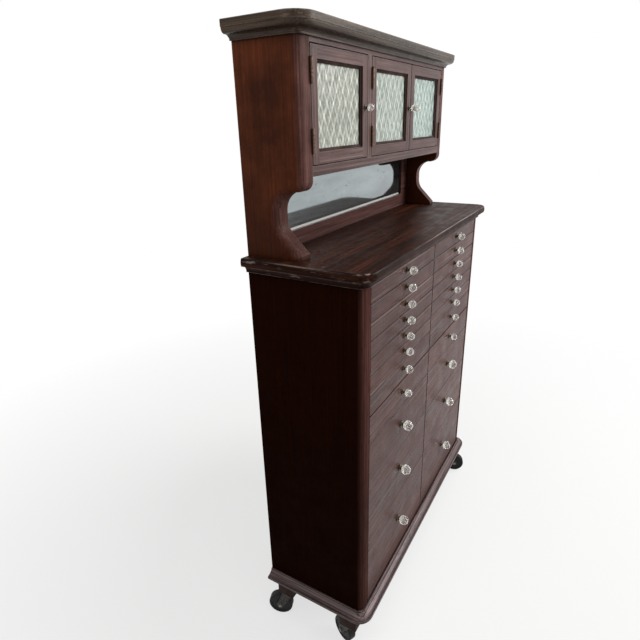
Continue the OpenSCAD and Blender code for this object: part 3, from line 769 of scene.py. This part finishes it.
def paint_solids(node, choose, *names):
    """Gives each solid of a node the one of the materials that choose(low, high) names."""
    mesh = paint(node, *names)
    for faces, low, high in solids_of(mesh):
        number = names.index(choose(low, high))
        for face in faces:
            mesh.polygons[face].material_index = number


def paint_run(node, name):
    """A moulding that turns round the corners: its grain follows the run."""
    mesh = paint(node, f"{name}_x", f"{name}_y")
    for face in mesh.polygons:
        if abs(face.normal.x) > max(abs(face.normal.y), SIDE_RUN_TURN):
            face.material_index = 1


def paint_drawer(node):
    """Front, sides, back and bottom, rose and glass knob of one drawer."""
    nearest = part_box(node)[0].y
    front = drawer_front(node)[0].y

    def choose(low, high):
        size = high - low
        if high.y < front + TOUCH:
            return "glass" if size.y > 0.5 * size.x and low.y < nearest + TOUCH else "brass"
        if low.y < front + TOUCH:
            return "front"
        return "pale_y" if size.y > SIDE_SLENDER * size.x else "pale_x"

    paint_solids(node, choose, "front", "pale_x", "pale_y", "brass", "glass")


def paint_hardware(node):
    """Moving hinge leaves, rose and glass of one door's fittings."""
    solids = solids_of(NODES[node].data)
    nearest = min(low.y for _, low, _ in solids)
    tallest = max(high.z - low.z for _, low, high in solids)

    def choose(low, high):
        if low.y < nearest + 0.5 * TOUCH:
            return "glass"
        return "bronze" if high.z - low.z > 0.5 * tallest else "brass"

    paint_solids(node, choose, "bronze", "brass", "glass")


def paint_frame(node):
    """Upright grain on the stiles, level grain on the rails."""

    def choose(low, high):
        return "door" if high.x - low.x > high.z - low.z else "door_up"

    paint_solids(node, choose, "door_up", "door")


PLAIN_NODES = {
    "base_side_left": "base_side", "base_side_right": "base_side", "base_back": "pale_z",
    "base_floor": "dark", "centre_partition": "dark_z", "drawer_runners": "pale_y",
    "caster_blocks": "dark", "caster_plates": "iron",
    "hutch_side_left": "hutch_side", "hutch_side_right": "hutch_side", "hutch_floor": "door",
    "hutch_top": "door", "hutch_mullion": "door_up", "hutch_shelves": "dark",
    "hutch_back": "dark_z", "mirror_frame": "front", "mirror": "mirror",
    "fixed_hinge_halves": "bronze",
}
RUN_NODES = {"worktop": "top", "plinth": "foot", "cornice": "trim"}


def paint_all():
    for node, name in PLAIN_NODES.items():
        paint(node, name)
    for node, name in RUN_NODES.items():
        paint_run(node, name)
    for drawer in DRAWERS:
        paint_drawer(f"drawer_{drawer}")
    for door in DOORS:
        paint_frame(f"door_{door}_frame")
        paint(f"door_{door}_glass", f"pane_{door}")
        paint_hardware(f"door_{door}_hardware")
    for caster in CASTERS:
        paint(f"caster_fork_{caster}", "iron")
        paint(f"caster_wheel_{caster}", "rubber")


# Pieces


def add_piece(name, body, material, mesh):
    """Puts a finished mesh into the scene as a piece that rides on a body."""
    mesh.materials.append(M[material])
    piece = bpy.data.objects.new(name, mesh)
    bpy.context.scene.collection.objects.link(piece)
    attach(piece, body)
    return piece


def mesh_from(name, corners, faces):
    """A mesh with outward normals."""
    mesh = bpy.data.meshes.new(name)
    mesh.from_pydata(corners, [], faces)
    shape = bmesh.new()
    shape.from_mesh(mesh)
    bmesh.ops.recalc_face_normals(shape, faces=shape.faces)
    shape.to_mesh(mesh)
    shape.free()
    return mesh


# Screw heads: half the slot's width over the head's radius, the corners round half a head, the turn
# from one to the next, and the head's profile as shares of its radius and height
SLOT_SHARE = 0.16
HALF_STEPS = 9
SLOT_TURN = 2.4
HEAD_PROFILE = ((1.0, 0.0), (1.0, 0.45), (0.82, 1.0))


class Shape:
    """Corners and faces of one piece that is made of closed forms."""

    def __init__(self):
        self.corners = []
        self.faces = []

    def prism(self, rings):
        """Closed form through rings of the same number of corners."""
        count = len(rings[0])
        base = len(self.corners)
        last = base + (len(rings) - 1) * count
        self.corners += [tuple(point) for ring in rings for point in ring]
        for first in range(base, last, count):
            for i in range(count):
                after = (i + 1) % count
                self.faces.append((first + i, first + after, first + count + after, first + count + i))
        self.faces += [tuple(range(start, start + count)) for start in (base, last)]

    def turned(self, centre, out, profile, sides):
        """A turned form: the profile gives (radius, height) pairs along out."""
        across = out.orthogonal().normalized()
        other = out.cross(across)
        angles = [math.tau * i / sides for i in range(sides)]
        rings = []
        for radius, height in profile:
            rings.append([centre + out * height + (across * math.cos(a) + other * math.sin(a)) * radius
                          for a in angles])
        self.prism(rings)

    def slotted(self, centre, out, radius, height, angle):
        """A screw head as two halves with the slot between them."""
        across = out.orthogonal().normalized()
        other = out.cross(across)
        lengthwise = across * math.cos(angle) + other * math.sin(angle)
        beside = out.cross(lengthwise)
        rest = math.asin(SLOT_SHARE)
        angles = [rest + (math.pi - 2 * rest) * i / HALF_STEPS for i in range(HALF_STEPS + 1)]
        for hand in (1, -1):
            rings = []
            for share, level in HEAD_PROFILE:
                middle = centre + out * height * level
                rings.append([middle + lengthwise * (radius * share * math.cos(a))
                              + beside * (hand * radius * max(share * math.sin(a), SLOT_SHARE))
                              for a in angles])
            self.prism(rings)

    def add(self, name, body, material, slot=None):
        return add_piece(name, body, material, mesh_from(name, self.corners, self.faces))


# Panes: the distance between the points of their mesh, the height of the pattern, and a rib's
# half width as a share of the lattice
PANE_STEP = 0.0016
PANE_RELIEF = 0.0008
RIB_WIDTH = 0.11


def ridge(value):
    """Height of a rib that runs where value is a whole number."""
    away = abs(value - round(value))
    return math.exp(-((away / RIB_WIDTH) ** 2))


def pane_relief(x, z):
    """Height of the pressed pattern, 0 to 1."""
    rising = x / LATTICE_W + z / LATTICE_H
    falling = x / LATTICE_W - z / LATTICE_H
    first, second = ridge(rising), ridge(falling)
    dish = DISH_LEVEL * abs(math.sin(math.pi * rising) * math.sin(math.pi * falling))
    return min(1.0, RIB_LEVEL * max(first, second) + BOSS_LEVEL * first * second + dish)


def grid_rim(columns, rows):
    """Numbers of a grid's outer corners, once round."""
    wide = columns + 1
    rim = list(range(wide))
    rim += [r * wide + columns for r in range(1, rows + 1)]
    rim += [rows * wide + c for c in range(columns - 1, -1, -1)]
    return rim + [r * wide for r in range(rows - 1, 0, -1)]


def add_pane(door):
    """A pane with its pattern pressed into the front face, in place of the flat one."""
    node = f"door_{door}_glass"
    low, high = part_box(node)
    columns = round((high.x - low.x) / PANE_STEP)
    rows = round((high.z - low.z) / PANE_STEP)
    corners = []
    for row in range(rows + 1):
        z = low.z + (high.z - low.z) * row / rows
        for column in range(columns + 1):
            x = low.x + (high.x - low.x) * column / columns
            level = pane_relief(x - low.x, z - low.z)
            corners.append((x, low.y + PANE_RELIEF * (1.0 - level), z))
    wide = columns + 1
    faces = [(r * wide + c, r * wide + c + 1, (r + 1) * wide + c + 1, (r + 1) * wide + c)
             for r in range(rows) for c in range(columns)]
    rim = grid_rim(columns, rows)
    count = len(rim)
    start = len(corners)
    corners += [(corners[index][0], high.y, corners[index][2]) for index in rim]
    for i in range(count):
        after = (i + 1) % count
        faces.append((rim[i], rim[after], start + after, start + i))
    faces.append(tuple(range(start, start + count)))
    mesh = mesh_from(f"pane_{door}", corners, faces)
    for face in mesh.polygons[:rows * columns]:
        face.use_smooth = True
    piece = add_piece(f"pane_{door}", f"door_{door}", f"pane_{door}", mesh)
    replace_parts(piece, node)


# Glazing beads: four mitred strips in front of each pane. The lip is how far the frame covers the
# glass, the slope is how far a bead's inner edge lies behind its outer one.
GLASS_LIP = 0.0059
BEAD_WIDTH = 0.0065
BEAD_FRONT = 0.0026
BEAD_SLOPE = 0.0030
BEAD_CLEAR = 0.00015


def add_bead_strip(shape, start, end, inward, front, back):
    """One mitred strip along the edge from start to end, with a sloped front."""
    run = (end - start).normalized()
    outline = (start, end, end + (inward - run) * BEAD_WIDTH, start + (run + inward) * BEAD_WIDTH)
    depths = (front, front, front + BEAD_SLOPE, front + BEAD_SLOPE)
    shape.prism([[(point.x, depth, point.z) for point, depth in zip(outline, depths)],
                 [(point.x, back, point.z) for point in outline]])


def add_beads(door):
    """The beads that hold one pane, inside the frame's opening."""
    glass_low, glass_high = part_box(f"door_{door}_glass")
    frame_low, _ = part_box(f"door_{door}_frame")
    lip = GLASS_LIP + BEAD_CLEAR
    left, right = glass_low.x + lip, glass_high.x - lip
    bottom, top = glass_low.z + lip, glass_high.z - lip
    front = frame_low.y + BEAD_FRONT
    back = glass_low.y - BEAD_CLEAR
    ring = [Vector((x, 0, z)) for x, z in ((left, bottom), (right, bottom), (right, top), (left, top))]
    inward = [Vector((x, 0, z)) for x, z in ((0, 1), (-1, 0), (0, -1), (1, 0))]
    shape = Shape()
    for i in range(4):
        add_bead_strip(shape, ring[i], ring[(i + 1) % 4], inward[i], front, back)
    shape.add(f"glazing_beads_{door}", f"door_{door}", "bead", "mahogany")


# Back boards: six boards side by side, a groove at each joint
BOARD_COUNT = 6
GROOVE = 0.0026


def add_boards(node, material, slot):
    """A back of matched boards in place of the plain panel."""
    low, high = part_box(node)
    joints = [low.x + (high.x - low.x) * i / BOARD_COUNT for i in range(1, BOARD_COUNT)]
    outline = [(low.x, low.y)]
    for x in joints:
        outline += [(x - GROOVE, low.y), (x, low.y + GROOVE), (x + GROOVE, low.y)]
    outline += [(high.x, low.y), (high.x, high.y)]
    for x in reversed(joints):
        outline += [(x + GROOVE, high.y), (x, high.y - GROOVE), (x - GROOVE, high.y)]
    outline.append((low.x, high.y))
    shape = Shape()
    shape.prism([[(x, y, z) for x, y in outline] for z in (low.z, high.z)])
    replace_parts(shape.add(f"{node}_boards", "cabinet", material, slot), node)


# Small fittings

# Hinge screws: radius and height of the head, the knuckle's diameter, and each screw's place on
# its leaf as a share of the height and of the depth
HINGE_SCREW = (0.0021, 0.00014)
KNUCKLE_D = 0.0064
SCREW_HEIGHTS = (0.17, 0.5, 0.83)
SCREW_DEPTHS = (0.35, 0.65, 0.35)


def leaf_screws(shape, mesh, faces, low, high):
    """Three countersunk screws on the open face of one hinge leaf."""
    points = [mesh.vertices[i].co for f in faces for i in mesh.polygons[f].vertices]
    pin_x = (low.x + high.x) / 2
    leaf = [p for p in points if p.y > low.y + KNUCKLE_D + TOUCH]
    left, right = min(p.x for p in leaf), max(p.x for p in leaf)
    hand = 1 if (left + right) / 2 < pin_x else -1
    face_x = right if hand > 0 else left
    start = low.y + KNUCKLE_D
    for number, (up, deep) in enumerate(zip(SCREW_HEIGHTS, SCREW_DEPTHS)):
        centre = Vector((face_x, start + (high.y - start) * deep, low.z + (high.z - low.z) * up))
        shape.slotted(centre, Vector((hand, 0, 0)), *HINGE_SCREW, SLOT_TURN * number + up)


def add_hinge_screws():
    """Screws of the fixed leaves and of each door's moving leaves."""
    nodes = {"fixed_hinge_halves": "cabinet"}
    nodes.update({f"door_{door}_hardware": f"door_{door}" for door in DOORS})
    for node, body in nodes.items():
        mesh = NODES[node].data
        shape = Shape()
        for faces, low, high in solids_of(mesh):
            depth = high.y - low.y
            if depth > 2 * KNUCKLE_D and high.z - low.z > 2 * depth:
                leaf_screws(shape, mesh, faces, low, high)
        shape.add(f"hinge_screws_{body}", body, "bronze")


# Knob screws: radius and height of the head, and the washer's profile
KNOB_SCREW = (0.0042, 0.0020)
KNOB_WASHER = ((0.0062, 0.0), (0.0062, 0.0007), (0.0058, 0.0009))
KNOB_WASHER_SIDES = 20


def knob_seats():
    """For each body with a knob: the node of its fittings, and how far back its board reaches."""
    seats = {}
    for drawer in DRAWERS:
        node = f"drawer_{drawer}"
        seats[node] = (node, drawer_front(node)[1].y)
    for door in DOORS:
        seats[f"door_{door}"] = (f"door_{door}_hardware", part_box(f"door_{door}_frame")[1].y)
    return seats


def add_knob_screws():
    """The slotted screw that holds each knob from behind, with its washer."""
    out = Vector((0, 1, 0))
    for number, (body, (node, back)) in enumerate(knob_seats().items()):
        _, low, high = min(solids_of(NODES[node].data), key=lambda solid: solid[1].y)
        centre = Vector(((low.x + high.x) / 2, back, (low.z + high.z) / 2))
        shape = Shape()
        shape.turned(centre, out, KNOB_WASHER, KNOB_WASHER_SIDES)
        shape.slotted(centre + out * KNOB_WASHER[-1][1], out, *KNOB_SCREW, SLOT_TURN * number)
        shape.add(f"knob_screw_{body}", body, "steel")


# Dovetail pins at the back corners of the drawers; they stand a hair proud and start in the board
PIN_PITCH = 0.026
PIN_WIDE = 0.0085
PIN_NARROW = 0.0055
PIN_PROUD = 0.00006
PIN_SUNK = 0.0002


def pin_outline(x, near, far, z):
    """A pin's outline at x: wide on the near side, narrow on the far one."""
    return [Vector((x, near, z - PIN_WIDE / 2)), Vector((x, far, z - PIN_NARROW / 2)),
            Vector((x, far, z + PIN_NARROW / 2)), Vector((x, near, z + PIN_WIDE / 2))]


def add_pins(drawer):
    """End-grain pins of the drawer's back, seen on the outside of its sides."""
    node = f"drawer_{drawer}"
    solids = solids_of(NODES[node].data)
    low_all, high_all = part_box(node)
    middle = (low_all.x + high_all.x) / 2
    sides = [(low, high) for _, low, high in solids
             if high.y - low.y > SIDE_SLENDER * (high.x - low.x)]
    _, back_low, back_high = max(solids, key=lambda solid: solid[1].y)
    shape = Shape()
    for low, high in sides:
        hand = -1 if low.x < middle else 1
        face_x = low.x if hand < 0 else high.x
        depths = (face_x - hand * PIN_SUNK, face_x + hand * PIN_PROUD)
        count = max(1, round((high.z - low.z) / PIN_PITCH))
        pitch = (high.z - low.z) / count
        for i in range(count):
            z = low.z + pitch * (i + 0.5)
            shape.prism([pin_outline(x, back_low.y, back_high.y, z) for x in depths])
    shape.add(f"dovetail_pins_{drawer}", node, "pin", "drawer_wood")


# Back screws: radius and height of the head, and their places on a board
BACK_SCREW = (0.0042, 0.0005)
BACK_SCREW_SHARES = (0.22, 0.78)
BACK_SCREW_INSET = 0.014


def add_back_screws():
    """Two screws at each end of every back board."""
    for node in ("base_back", "hutch_back"):
        low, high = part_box(node)
        width = (high.x - low.x) / BOARD_COUNT
        places = [(low.x + width * (i + share), high.y, z)
                  for i in range(BOARD_COUNT) for share in BACK_SCREW_SHARES
                  for z in (low.z + BACK_SCREW_INSET, high.z - BACK_SCREW_INSET)]
        shape = Shape()
        for number, place in enumerate(places, 1):
            shape.slotted(Vector(place), Vector((0, 1, 0)), *BACK_SCREW, SLOT_TURN * number)
        shape.add(f"{node}_screws", "cabinet", "steel")


# Shelf pegs
PEG_RADIUS = 0.0025
PEG_LENGTH = 0.009
PEG_ROUND = 0.0006
PEG_INSET = 0.020
PEG_SIDES = 20
PEG_PROFILE = ((PEG_RADIUS, 0.0), (PEG_RADIUS, PEG_LENGTH - PEG_ROUND),
               (PEG_RADIUS - PEG_ROUND, PEG_LENGTH))


def add_pegs():
    """Brass pegs under the ends of the shelves."""
    shape = Shape()
    for _, low, high in solids_of(NODES["hutch_shelves"].data):
        for y in (low.y + PEG_INSET, high.y - PEG_INSET):
            for x, hand in ((low.x, 1), (high.x, -1)):
                centre = Vector((x, y, low.z - PEG_RADIUS))
                shape.turned(centre, Vector((hand, 0, 0)), PEG_PROFILE, PEG_SIDES)
    shape.add("shelf_pegs", "cabinet", "brass", "aged_brass")


# Axle nuts: how far the outer face of the fork's arm is from the wheel's middle, and what sits on
# it, from the arm outwards: washer, nut and axle end, each with its profile and number of sides
ARM_FACE = 0.0161
AXLE_STACK = (
    (((0.0072, 0.0), (0.0072, 0.0008)), 24),
    (((0.0062, 0.0), (0.0062, 0.0024), (0.0054, 0.0030)), 6),
    (((0.0030, 0.0), (0.0030, 0.0007), (0.0022, 0.0012)), 16),
)


def axle_direction(mesh, centre):
    """The level line square to the wheel's plane, from how its points spread."""
    spread = [(v.co.x - centre.x, v.co.y - centre.y) for v in mesh.vertices]
    xx, yy = sum(x * x for x, _ in spread), sum(y * y for _, y in spread)
    xy = sum(x * y for x, y in spread)
    roll = 0.5 * math.atan2(2 * xy, xx - yy)
    return Vector((-math.sin(roll), math.cos(roll), 0))


def add_axle_nuts(caster):
    """Washer, six-sided nut and axle end outside each arm of a fork."""
    node = f"caster_wheel_{caster}"
    low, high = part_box(node)
    centre = (low + high) / 2
    axle = axle_direction(NODES[node].data, centre)
    shape = Shape()
    for out in (axle, -axle):
        start = ARM_FACE
        for profile, sides in AXLE_STACK:
            shape.turned(centre + out * start, out, profile, sides)
            start += profile[-1][1]
    shape.add(f"axle_nuts_{caster}", f"caster_fork_{caster}", "steel")


# Stage


def add_lamps():
    for name, (place, size, watts) in LAMPS.items():
        data = bpy.data.lights.new(name, "AREA")
        data.shape = "DISK"
        data.size = size
        data.energy = watts
        lamp = bpy.data.objects.new(name, data)
        lamp.visible_camera = False
        bpy.context.scene.collection.objects.link(lamp)
        turn = (AIM - place).to_track_quat("-Z", "Y").to_matrix().to_4x4()
        lamp.matrix_world = Matrix.Translation(place) @ turn


def add_world():
    """Plain white where it is seen, soft and even where it only lights."""
    world = bpy.data.worlds.new("studio")
    bpy.context.scene.world = world
    g = Graph(world)
    ambient = g.glow("ShaderNodeBackground", AMBIENT_COLOUR, AMBIENT)
    white = g.glow("ShaderNodeBackground", WHITE, 1.0)
    g.show(g.blend(g.seen_plainly(), ambient, white), "ShaderNodeOutputWorld")


def floor_material():
    """Pale floor that keeps the shadow near the cabinet and runs out into the white background."""
    g = Graph(bpy.data.materials.new("studio_floor"))
    far = g.add("ShaderNodeVectorMath", operation="LENGTH")
    g.link(g.add("ShaderNodeTexCoord").outputs["Object"], far.inputs[0])
    away = g.remap(far.outputs["Value"], FLOOR_FADE_FROM, FLOOR_FADE_TO, FLOOR_WHITE_NEAR, 1.0)
    grain = g.noise(g.place(FLOOR_GRAIN_SCALE), detail=3.0)
    shaded = tuple(c * FLOOR_GRAIN_SHADE for c in FLOOR_COLOUR)
    plain = g.add("ShaderNodeBsdfDiffuse")
    g.link(g.mix(grain, FLOOR_COLOUR, shaded), plain.inputs[0])
    white = g.glow("ShaderNodeEmission", WHITE, 1.0)
    return g.show(g.blend(g.times(away, g.seen_plainly()), plain.outputs[0], white))


def add_floor():
    half = FLOOR_SIZE / 2
    corners = [(-half, -half, 0), (half, -half, 0), (half, half, 0), (-half, half, 0)]
    mesh = bpy.data.meshes.new("floor")
    mesh.from_pydata(corners, [], [(0, 1, 2, 3)])
    mesh.materials.append(floor_material())
    floor = bpy.data.objects.new("floor", mesh)
    bpy.context.scene.collection.objects.link(floor)


def add_camera():
    """The photograph's camera, placed from the front edge of the case."""
    low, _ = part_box("base_side_left")
    yaw, pitch, roll = (math.radians(a) for a in (YAW_DEG, PITCH_DEG, ROLL_DEG))
    ahead = Vector((math.cos(pitch) * math.sin(yaw), math.cos(pitch) * math.cos(yaw), math.sin(pitch)))
    level = ahead.cross(Vector((0, 0, 1))).normalized()
    above = level.cross(ahead)
    right = math.cos(roll) * level + math.sin(roll) * above
    up = -math.sin(roll) * level + math.cos(roll) * above
    turn = Matrix((right, up, -ahead)).transposed().to_4x4()
    data = bpy.data.cameras.new("camera")
    data.sensor_width = SENSOR_MM
    data.lens = FOCAL_PX / PHOTO_PX * SENSOR_MM
    data.shift_x = (PHOTO_PX / 2 - CENTRE_PX[0]) / PHOTO_PX
    data.shift_y = (CENTRE_PX[1] - PHOTO_PX / 2) / PHOTO_PX
    camera = bpy.data.objects.new("camera", data)
    bpy.context.scene.collection.objects.link(camera)
    camera.matrix_world = Matrix.Translation(EYE + Vector((0.0, low.y, low.z))) @ turn
    bpy.context.scene.camera = camera


add_camera()
add_world()
add_floor()
add_lamps()
bpy.context.scene.view_settings.view_transform = "Standard"
paint_all()
for door in DOORS:
    add_pane(door)
    add_beads(door)
add_boards("base_back", "pale_z", "secondary_wood")
add_boards("hutch_back", "dark_z", "secondary_wood")
add_hinge_screws()
add_knob_screws()
add_back_screws()
add_pegs()
for drawer in DRAWERS:
    add_pins(drawer)
for caster in CASTERS:
    add_axle_nuts(caster)
